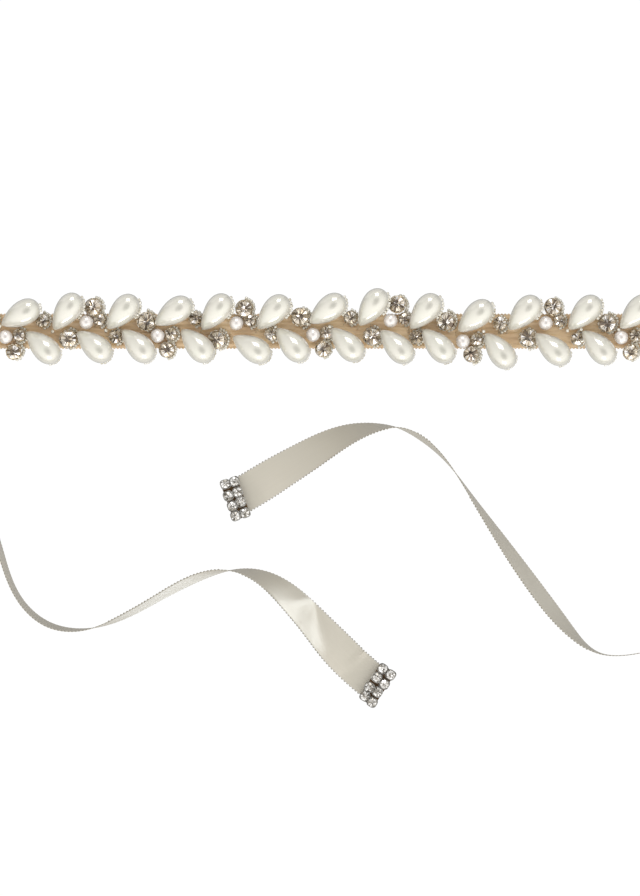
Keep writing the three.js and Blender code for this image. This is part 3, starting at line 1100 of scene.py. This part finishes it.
seed_material = seed_finish()
seed_points, seed_faces = seed_form()
seed_forms = []
for place, along in seed_places:
    jog = Vector([seed_draws.uniform(-0.12, 0.12) * MM for _ in range(3)])
    sway = Matrix.Rotation(seed_draws.uniform(-0.3, 0.3), 4, "X")
    facing = along.to_track_quat("Z", "Y").to_matrix().to_4x4()
    spot = Matrix.Translation(place + jog) @ facing @ sway
    seed_forms.append((seed_points, seed_faces, None, spot))
seeds = joined_piece("seed_beads", seed_forms, seed_material, sharp=80)

# Thread
# Ecru beading thread. It shows as short stitches over the drops' tips and beside the stones, and
# as a running line of stitches on the ribbon's back.

STITCH_RADIUS = 0.14 * MM
STITCH_STEPS = 6
STITCH_SIDES = 6
BACK_STITCH = 2.8 * MM  # long
BACK_STITCH_PITCH = 4 * MM


def stitch_form(start, end, rise):
    """A thread from one point to another over a low arch."""
    points = []
    for step in range(STITCH_STEPS + 1):
        share = step / STITCH_STEPS
        place = start.lerp(end, share) + Vector((0, 0, rise * math.sin(math.pi * share)))
        along = (end - start) + Vector((0, 0, rise * math.pi * math.cos(math.pi * share)))
        points += tube_ring(place, along.normalized(), Vector((0.1, 0, 1)), STITCH_RADIUS, STITCH_SIDES)
    return points, tube_faces(0, STITCH_STEPS + 1, STITCH_SIDES)


def thread_finish():
    thread = Finish("ecru_thread")
    twist = thread.noise(3200.0)
    return thread.surface(
        Base_Color=thread.mix(twist, (0.50, 0.38, 0.22), (0.72, 0.62, 0.45)),
        Roughness=twist * 0.2 + 0.5,
        Normal=thread.bump(twist, 0.4, 0.05 * MM),
    )


thread_material = thread_finish()
identity = Matrix.Identity(4)
thread_draws = random.Random(11)
stitch_forms = []
cloth_top = BAND_RISE + RIBBON_THICKNESS
for tip, far in drops.values():
    along = (far - tip).normalized()
    for reach in (-0.25, 0.25):
        start = tip + along * DROP_FOOT + Vector((0, reach * MM, 0))
        end = tip - along * 1.3 * MM + Vector((0, reach * 2 * MM, 0))
        end.z = cloth_top
        stitch_forms.append((*stitch_form(start, end, 0.2 * MM), None, identity))
for stone in crystal_stones:
    for _ in range(2):
        turn = thread_draws.uniform(0, 2 * math.pi)
        out = Vector(polar(1, turn))
        start = stone["foot"] + out * stone["radius"] * 0.5
        end = stone["foot"] + out * (stone["radius"] + 1.2 * MM)
        start.z, end.z = STONE_FOOT + 0.6 * MM, cloth_top
        if abs(end.y - BAND.y) < RIBBON_WIDTH / 2:
            stitch_forms.append((*stitch_form(start, end, 0.3 * MM), None, identity))
back_height = BAND_RISE - 0.12 * MM
for i in range(int(2 * BAND_HALF / BACK_STITCH_PITCH)):
    x = BAND.x - BAND_HALF + (i + 0.5) * BACK_STITCH_PITCH
    y = BAND.y + thread_draws.uniform(-5, 5) * MM
    start = Vector((x - BACK_STITCH / 2, y, back_height))
    end = Vector((x + BACK_STITCH / 2, y + thread_draws.uniform(-2, 2) * MM, back_height))
    stitch_forms.append((*stitch_form(start, end, -0.12 * MM), None, identity))
joined_piece("stitches", stitch_forms, thread_material, sharp=80)

# End trims
# Two rows of four crystals in silver cups, cut from cup chain. They are sewn over each cut end of
# the ribbon to finish and weight it, with dark gaps between the cups.

CUP_RADIUS = 2.2 * MM
CUP_CORNERS = 0.14  # how far a cup's four corners reach past its round stone
CUP_HEIGHT = 3.2 * MM
CUP_PITCH = 4.5 * MM
CUP_ROW_PITCH = 4.0 * MM
CUPS_PER_ROW = 4
CUP_ROWS = 2
CUP_GIRDLE_SHARE = 0.58  # of a cup's height, where its stone begins
CUP_FIT = 0.96  # a cup's radius in shares of the whole
CUP_STONE_FIT = 0.92
CUP_TIP = 8  # degrees
CUP_SLIP = 0.2 * MM
STRIP_HEIGHT = 0.6 * MM
STRIP_EDGE = 0.75  # how far the strip reaches past the cups' middles, in cup radii
TRIM_HEADING = {"left": -33, "right": 200}  # which way each trim faces, in degrees
# Painted reflections for the trim stones' facets, bright and dark, with how often each is drawn where.
TRIM_PAINTED_REFLECTIONS = table(
    "colour rim inward outward heart",
    ((0.90, 0.89, 0.87), 2, 5, 1, 3),
    ((0.52, 0.51, 0.48), 4, 4, 3, 2),
    ((0.22, 0.20, 0.17), 4, 2, 4, 3),
    ((0.05, 0.045, 0.035), 4, 1, 5, 4),
)


def cup_places(name):
    """The eight cups' places on one trim, each straight up from the strip."""
    low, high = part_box(f"end_trim_{name}")
    middle = (low + high) / 2
    middle.z = low.z
    turn = Matrix.Rotation(math.radians(TRIM_HEADING[name]), 4, "Z")
    places = []
    for row in range(CUP_ROWS):
        for k in range(CUPS_PER_ROW):
            x = (row - (CUP_ROWS - 1) / 2) * CUP_ROW_PITCH
            y = (k - (CUPS_PER_ROW - 1) / 2) * CUP_PITCH
            spot = Matrix.Translation((x, y, STRIP_HEIGHT))
            places.append(Matrix.Translation(middle) @ turn @ spot)
    return places, Matrix.Translation(middle) @ turn


def strip_form():
    """The near-black strip of pressed links under the cups, which shows dark in the gaps between them,
    rounded at its corners.
    """
    long = (CUP_ROWS - 1) * CUP_ROW_PITCH + 2 * STRIP_EDGE * CUP_RADIUS
    wide = (CUPS_PER_ROW - 1) * CUP_PITCH + 2 * STRIP_EDGE * CUP_RADIUS
    corner = 0.9 * MM
    outline = []
    for cx, cy, first in ((1, 1, 0), (-1, 1, 90), (-1, -1, 180), (1, -1, 270)):
        for k in range(4):
            turn = math.radians(first + 30 * k)
            x = cx * (long / 2 - corner) + corner * math.cos(turn)
            y = cy * (wide / 2 - corner) + corner * math.sin(turn)
            outline.append((x, y))
    count = len(outline)
    points = [(x, y, 0) for x, y in outline] + [(x, y, STRIP_HEIGHT * 1.6) for x, y in outline]
    faces = [tuple(reversed(range(count))), tuple(count + k for k in range(count))]
    for k in range(count):
        n = (k + 1) % count
        faces.append((k, n, count + n, count + k))
    return points, faces


def strip_finish():
    strip = Finish("trim_backing")
    grain = strip.noise(900.0, 3.0)
    return strip.surface(
        # Near black to dark brown by its grain.
        Base_Color=strip.mix(grain, (0.02, 0.012, 0.006), (0.24, 0.14, 0.06)),
        Roughness=grain * 0.3 + 0.3,
        Metallic=0.6,
        Normal=strip.bump(grain, 0.6, 0.2 * MM),
    )


trim_crystal_material = crystal_finish("clear_crystal", 0.05)
cup_material = setting_finish("silver_cup", (0.72, 0.71, 0.68), (0.34, 0.32, 0.28), 0.14)
strip_material = strip_finish()
trim_draws = random.Random(97)
for name in ("left", "right"):
    places, middle = cup_places(name)
    stone_forms, cup_forms = [], []
    girdle = CUP_HEIGHT * CUP_GIRDLE_SHARE
    crown = CUP_HEIGHT - girdle
    for place in places:
        tip = tipped(trim_draws, CUP_TIP)
        slip = Matrix.Translation([trim_draws.uniform(-CUP_SLIP, CUP_SLIP) for _ in range(2)] + [0])
        set_in = place @ slip @ tip
        form = crystal_form(CUP_RADIUS * CUP_STONE_FIT, crown, trim_draws, TRIM_PAINTED_REFLECTIONS)
        stone_forms.append((*form, set_in @ Matrix.Translation((0, 0, girdle))))
        cup_forms += setting_forms(set_in, CUP_RADIUS * CUP_FIT, girdle, crown, 4, 0.5, CUP_CORNERS)
    strip_forms = [(*strip_form(), None, middle)]
    joined_piece(f"trim_strip_{name}", strip_forms, strip_material, sharp=40)
    cups = joined_piece(f"trim_cups_{name}", cup_forms, cup_material, sharp=40)
    joined_piece(f"trim_stones_{name}", stone_forms, trim_crystal_material)
    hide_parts(f"end_trim_{name}")

# Floor
# A plain white table, lit a little from below, as for a cut-out photograph. It isn't part of the
# sash.

FLOOR_HALF = 9.0
FLOOR_LEVEL = -0.05 * MM


def floor_piece():
    corners = [(x * FLOOR_HALF, y * FLOOR_HALF) for x, y in ((-1, -1), (1, -1), (1, 1), (-1, 1))]
    mesh = mesh_from("floor", [(x, y, FLOOR_LEVEL) for x, y in corners], [(0, 1, 2, 3)])
    white_table = Finish("white_table")
    grain = white_table.node("ShaderNodeTexNoise", {}, {"Scale": 40.0})
    white = white_table.mix(grain, (1.0, 1.0, 1.0), (0.99, 0.99, 0.99))
    glow = {"Emission_Color": white, "Emission_Strength": 1.02}
    mesh.materials.append(white_table.surface(Base_Color=(0.0, 0.0, 0.0), Roughness=1.0, **glow))
    floor = bpy.data.objects.new("floor", mesh)
    bpy.context.scene.collection.objects.link(floor)
    # The room lights the sash from below, through the table.
    floor.visible_diffuse = floor.visible_glossy = floor.visible_shadow = False


floor_piece()

# Light
# Soft boxes beyond the band and on the near side give the pearls their paired highlights. Others
# light only the cloth: one catches the turn of the left tail, and one the standing tail beside it.
# The room is pale, darker overhead.

PICTURE_MIDDLE = BAND + Vector((-7.96 * MM, -48.35 * MM, 0))
SOFTBOX_AWAY = 1.3
CLOTH_LAMP = (0.86, 0.93, 1.0)  # cool, so that the satin's highlights stay white
LIGHTS = table(
    "name on azimuth rise wide tall glow",
    ("far_box", "beads", 90, 33, 0.6, 0.55, 4.4),
    ("near_box", "lower", -90, 38, 0.6, 0.5, 4.4),
    ("low_box", "upper", -84, 10, 0.9, 0.24, 4.4),
    ("rim_box", "pearls", 105, -14, 2.4, 1.5, 0.45),
    ("facet_box", "cloth", 27, 8, 0.75, 1.1, 5.6),
    ("under_box", "cloth", -61, -52, 0.5, 0.5, 2.3),
    ("top_box", "cloth", 0, 88, 1.2, 1.2, 0.5),
)
lit = {
    "cloth": [ribbon],
    "upper": [p for p in bpy.data.objects if p.name.startswith(("pearl_drop_upper", "round_pearl"))],
    "lower": [p for p in bpy.data.objects if p.name.startswith("pearl_drop_lower")],
}
lit["pearls"] = lit["upper"] + lit["lower"]
lit["lower"] = lit["lower"] + [crystals, settings, seeds]
stitched_on = [p for p in bpy.data.objects if p.name.startswith(("trim_", "stitches"))]
lit["beads"] = lit["upper"] + lit["lower"] + stitched_on
receivers = {}
for name, pieces in lit.items():
    receivers[name] = bpy.data.collections.new(f"lit_{name}")
    for piece in pieces:
        receivers[name].objects.link(piece)
for row in LIGHTS:
    lamp = bpy.data.lights.new(row["name"], "AREA")
    lamp.shape, lamp.size, lamp.size_y = "RECTANGLE", row["wide"], row["tall"]
    lamp.energy = row["glow"] * math.pi * row["wide"] * row["tall"]
    if row["on"] == "cloth":
        lamp.color = CLOTH_LAMP
    light = bpy.data.objects.new(row["name"], lamp)
    bpy.context.scene.collection.objects.link(light)
    a, e = math.radians(row["azimuth"]), math.radians(row["rise"])
    way = Vector(polar(math.cos(e), a, math.sin(e)))
    light.location = PICTURE_MIDDLE + way * SOFTBOX_AWAY
    light.rotation_mode = "QUATERNION"
    light.rotation_quaternion = way.to_track_quat("Z", "Y")
    light.visible_camera = False
    light.visible_diffuse = False  # the room alone gives the even light
    if row["on"] in receivers:
        light.light_linking.receiver_collection = receivers[row["on"]]

# The room's brightness, from straight down at 0 to straight up at 1.
ROOM_TONES = (
    (0.0, 0.45),
    (0.3, 0.5),
    (0.46, 0.8),
    (0.6, 1.1),
    (0.75, 1.35),
    (0.92, 1.35),
    (0.975, 0.5),
    (1.0, 0.15),
)
# How much lighter it is towards +X and +Y: a little on the right, and on the near side.
ROOM_GAIN = {"x": 0.05, "y": -0.32}
room = Finish("pale_room", bpy.data.worlds)
way = room.node("ShaderNodeTexCoord")
stops = [(place, (tone, tone, tone)) for place, tone in ROOM_TONES]
tone = room.node("ShaderNodeValToRGB", {"stops": stops}, {0: room.share(room.part(way, "Z"), -1, 1)})
strength = room.part(way, "X") * ROOM_GAIN["x"] + (room.part(way, "Y") * ROOM_GAIN["y"] + 1)
background = room.node("ShaderNodeBackground", {}, {"Color": tone, "Strength": strength})
room.node("ShaderNodeOutputWorld", {}, {"Surface": background})
bpy.context.scene.world = room.owner
bpy.context.scene.view_settings.view_transform = "Standard"

# Camera
# It looks straight down with a long lens, and frames the sash as the photograph does: the band
# runs out at both sides, and both trims are in view.

PICTURE_TALL = 370.2 * MM
LENS = 180.0
SENSOR = 36.0
BEAD_HEIGHT = 5 * MM  # where the picture's scale holds
camera_data = bpy.data.cameras.new("camera")
camera_data.lens, camera_data.sensor_width = LENS, SENSOR
camera_data.clip_start, camera_data.clip_end = 0.05, 100.0
camera = bpy.data.objects.new("camera", camera_data)
bpy.context.scene.collection.objects.link(camera)
camera.location = PICTURE_MIDDLE + Vector((0, 0, PICTURE_TALL * LENS / SENSOR + BEAD_HEIGHT))
bpy.context.scene.camera = camera
